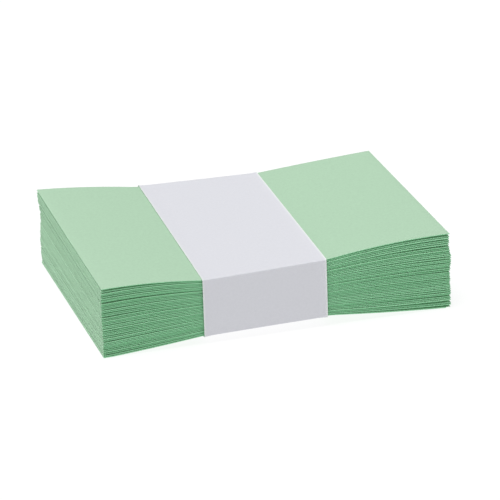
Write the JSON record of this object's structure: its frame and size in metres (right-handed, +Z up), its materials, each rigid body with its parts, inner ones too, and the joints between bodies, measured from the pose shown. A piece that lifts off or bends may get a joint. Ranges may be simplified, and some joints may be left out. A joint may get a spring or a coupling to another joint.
{
  "type": "pack of cash deposit bags",
  "caption": "Flat green paper cash deposit bags stacked in a pack and held at the waist by a white paper band; the bags draw out endwise and the band slips off.",
  "frame": {"origin": "under the middle of the bags, on the surface that the pack rests on", "axes": "+X along the bags towards their mouths and closing flaps, +Y across the bags towards their side seams, +Z up"},
  "size_m": [0.162, 0.115, 0.035],
  "materials": {
    "bag_paper": "matte",
    "flap_paper": "matte",
    "band_paper": "matte"
  },
  "bodies": {
    "bag_40": {"bag_40": "bag_paper"},
    "band": {"paper_band": "band_paper"},
    "closing_flap": {"closing_flap": "flap_paper"},
    "bag_01": {"bag_01": "bag_paper"},
    "bag_02": {"bag_02": "bag_paper"},
    "bag_03": {"bag_03": "bag_paper"},
    "bag_04": {"bag_04": "bag_paper"},
    "bag_05": {"bag_05": "bag_paper"},
    "bag_06": {"bag_06": "bag_paper"},
    "bag_07": {"bag_07": "bag_paper"},
    "bag_08": {"bag_08": "bag_paper"},
    "bag_09": {"bag_09": "bag_paper"},
    "bag_10": {"bag_10": "bag_paper"},
    "bag_11": {"bag_11": "bag_paper"},
    "bag_12": {"bag_12": "bag_paper"},
    "bag_13": {"bag_13": "bag_paper"},
    "bag_14": {"bag_14": "bag_paper"},
    "bag_15": {"bag_15": "bag_paper"},
    "bag_16": {"bag_16": "bag_paper"},
    "bag_17": {"bag_17": "bag_paper"},
    "bag_18": {"bag_18": "bag_paper"},
    "bag_19": {"bag_19": "bag_paper"},
    "bag_20": {"bag_20": "bag_paper"},
    "bag_21": {"bag_21": "bag_paper"},
    "bag_22": {"bag_22": "bag_paper"},
    "bag_23": {"bag_23": "bag_paper"},
    "bag_24": {"bag_24": "bag_paper"},
    "bag_25": {"bag_25": "bag_paper"},
    "bag_26": {"bag_26": "bag_paper"},
    "bag_27": {"bag_27": "bag_paper"},
    "bag_28": {"bag_28": "bag_paper"},
    "bag_29": {"bag_29": "bag_paper"},
    "bag_30": {"bag_30": "bag_paper"},
    "bag_31": {"bag_31": "bag_paper"},
    "bag_32": {"bag_32": "bag_paper"},
    "bag_33": {"bag_33": "bag_paper"},
    "bag_34": {"bag_34": "bag_paper"},
    "bag_35": {"bag_35": "bag_paper"},
    "bag_36": {"bag_36": "bag_paper"},
    "bag_37": {"bag_37": "bag_paper"},
    "bag_38": {"bag_38": "bag_paper"},
    "bag_39": {"bag_39": "bag_paper"}
  },
  "joints": [
    {"name": "band_slip", "type": "slide", "parent": "bag_40", "child": "band", "axis": [-1, 0, 0], "range_m": [-0.12, 0.11], "deforming": ["paper_band"]},
    {"name": "closing_flap_fold", "type": "hinge", "parent": "bag_40", "child": "closing_flap", "pos_m": [0.081, 0, 0.0003], "axis": [0, -1, 0], "range_deg": [0, 180]},
    {"name": "draw_bag_01", "type": "slide", "parent": "bag_40", "child": "bag_01", "axis": [1, 0, 0], "range_m": [-0.17, 0.17], "deforming": ["bag_01"]},
    {"name": "draw_bag_02", "type": "slide", "parent": "bag_40", "child": "bag_02", "axis": [1, 0, 0], "range_m": [-0.17, 0.17], "deforming": ["bag_02"]},
    {"name": "draw_bag_03", "type": "slide", "parent": "bag_40", "child": "bag_03", "axis": [1, 0, 0], "range_m": [-0.17, 0.17], "deforming": ["bag_03"]},
    {"name": "draw_bag_04", "type": "slide", "parent": "bag_40", "child": "bag_04", "axis": [1, 0, 0], "range_m": [-0.17, 0.17], "deforming": ["bag_04"]},
    {"name": "draw_bag_05", "type": "slide", "parent": "bag_40", "child": "bag_05", "axis": [1, 0, 0], "range_m": [-0.17, 0.17], "deforming": ["bag_05"]},
    {"name": "draw_bag_06", "type": "slide", "parent": "bag_40", "child": "bag_06", "axis": [1, 0, 0], "range_m": [-0.17, 0.17], "deforming": ["bag_06"]},
    {"name": "draw_bag_07", "type": "slide", "parent": "bag_40", "child": "bag_07", "axis": [1, 0, 0], "range_m": [-0.17, 0.17], "deforming": ["bag_07"]},
    {"name": "draw_bag_08", "type": "slide", "parent": "bag_40", "child": "bag_08", "axis": [1, 0, 0], "range_m": [-0.17, 0.17], "deforming": ["bag_08"]},
    {"name": "draw_bag_09", "type": "slide", "parent": "bag_40", "child": "bag_09", "axis": [1, 0, 0], "range_m": [-0.17, 0.17], "deforming": ["bag_09"]},
    {"name": "draw_bag_10", "type": "slide", "parent": "bag_40", "child": "bag_10", "axis": [1, 0, 0], "range_m": [-0.17, 0.17], "deforming": ["bag_10"]},
    {"name": "draw_bag_11", "type": "slide", "parent": "bag_40", "child": "bag_11", "axis": [1, 0, 0], "range_m": [-0.17, 0.17], "deforming": ["bag_11"]},
    {"name": "draw_bag_12", "type": "slide", "parent": "bag_40", "child": "bag_12", "axis": [1, 0, 0], "range_m": [-0.17, 0.17], "deforming": ["bag_12"]},
    {"name": "draw_bag_13", "type": "slide", "parent": "bag_40", "child": "bag_13", "axis": [1, 0, 0], "range_m": [-0.17, 0.17], "deforming": ["bag_13"]},
    {"name": "draw_bag_14", "type": "slide", "parent": "bag_40", "child": "bag_14", "axis": [1, 0, 0], "range_m": [-0.17, 0.17], "deforming": ["bag_14"]},
    {"name": "draw_bag_15", "type": "slide", "parent": "bag_40", "child": "bag_15", "axis": [1, 0, 0], "range_m": [-0.17, 0.17], "deforming": ["bag_15"]},
    {"name": "draw_bag_16", "type": "slide", "parent": "bag_40", "child": "bag_16", "axis": [1, 0, 0], "range_m": [-0.17, 0.17], "deforming": ["bag_16"]},
    {"name": "draw_bag_17", "type": "slide", "parent": "bag_40", "child": "bag_17", "axis": [1, 0, 0], "range_m": [-0.17, 0.17], "deforming": ["bag_17"]},
    {"name": "draw_bag_18", "type": "slide", "parent": "bag_40", "child": "bag_18", "axis": [1, 0, 0], "range_m": [-0.17, 0.17], "deforming": ["bag_18"]},
    {"name": "draw_bag_19", "type": "slide", "parent": "bag_40", "child": "bag_19", "axis": [1, 0, 0], "range_m": [-0.17, 0.17], "deforming": ["bag_19"]},
    {"name": "draw_bag_20", "type": "slide", "parent": "bag_40", "child": "bag_20", "axis": [1, 0, 0], "range_m": [-0.17, 0.17], "deforming": ["bag_20"]},
    {"name": "draw_bag_21", "type": "slide", "parent": "bag_40", "child": "bag_21", "axis": [1, 0, 0], "range_m": [-0.17, 0.17], "deforming": ["bag_21"]},
    {"name": "draw_bag_22", "type": "slide", "parent": "bag_40", "child": "bag_22", "axis": [1, 0, 0], "range_m": [-0.17, 0.17], "deforming": ["bag_22"]},
    {"name": "draw_bag_23", "type": "slide", "parent": "bag_40", "child": "bag_23", "axis": [1, 0, 0], "range_m": [-0.17, 0.17], "deforming": ["bag_23"]},
    {"name": "draw_bag_24", "type": "slide", "parent": "bag_40", "child": "bag_24", "axis": [1, 0, 0], "range_m": [-0.17, 0.17], "deforming": ["bag_24"]},
    {"name": "draw_bag_25", "type": "slide", "parent": "bag_40", "child": "bag_25", "axis": [1, 0, 0], "range_m": [-0.17, 0.17], "deforming": ["bag_25"]},
    {"name": "draw_bag_26", "type": "slide", "parent": "bag_40", "child": "bag_26", "axis": [1, 0, 0], "range_m": [-0.17, 0.17], "deforming": ["bag_26"]},
    {"name": "draw_bag_27", "type": "slide", "parent": "bag_40", "child": "bag_27", "axis": [1, 0, 0], "range_m": [-0.17, 0.17], "deforming": ["bag_27"]},
    {"name": "draw_bag_28", "type": "slide", "parent": "bag_40", "child": "bag_28", "axis": [1, 0, 0], "range_m": [-0.17, 0.17], "deforming": ["bag_28"]},
    {"name": "draw_bag_29", "type": "slide", "parent": "bag_40", "child": "bag_29", "axis": [1, 0, 0], "range_m": [-0.17, 0.17], "deforming": ["bag_29"]},
    {"name": "draw_bag_30", "type": "slide", "parent": "bag_40", "child": "bag_30", "axis": [1, 0, 0], "range_m": [-0.17, 0.17], "deforming": ["bag_30"]},
    {"name": "draw_bag_31", "type": "slide", "parent": "bag_40", "child": "bag_31", "axis": [1, 0, 0], "range_m": [-0.17, 0.17], "deforming": ["bag_31"]},
    {"name": "draw_bag_32", "type": "slide", "parent": "bag_40", "child": "bag_32", "axis": [1, 0, 0], "range_m": [-0.17, 0.17], "deforming": ["bag_32"]},
    {"name": "draw_bag_33", "type": "slide", "parent": "bag_40", "child": "bag_33", "axis": [1, 0, 0], "range_m": [-0.17, 0.17], "deforming": ["bag_33"]},
    {"name": "draw_bag_34", "type": "slide", "parent": "bag_40", "child": "bag_34", "axis": [1, 0, 0], "range_m": [-0.17, 0.17], "deforming": ["bag_34"]},
    {"name": "draw_bag_35", "type": "slide", "parent": "bag_40", "child": "bag_35", "axis": [1, 0, 0], "range_m": [-0.17, 0.17], "deforming": ["bag_35"]},
    {"name": "draw_bag_36", "type": "slide", "parent": "bag_40", "child": "bag_36", "axis": [1, 0, 0], "range_m": [-0.17, 0.17], "deforming": ["bag_36"]},
    {"name": "draw_bag_37", "type": "slide", "parent": "bag_40", "child": "bag_37", "axis": [1, 0, 0], "range_m": [-0.17, 0.17], "deforming": ["bag_37"]},
    {"name": "draw_bag_38", "type": "slide", "parent": "bag_40", "child": "bag_38", "axis": [1, 0, 0], "range_m": [-0.17, 0.17], "deforming": ["bag_38"]},
    {"name": "draw_bag_39", "type": "slide", "parent": "bag_40", "child": "bag_39", "axis": [1, 0, 0], "range_m": [-0.17, 0.17], "deforming": ["bag_39"]}
  ]
}
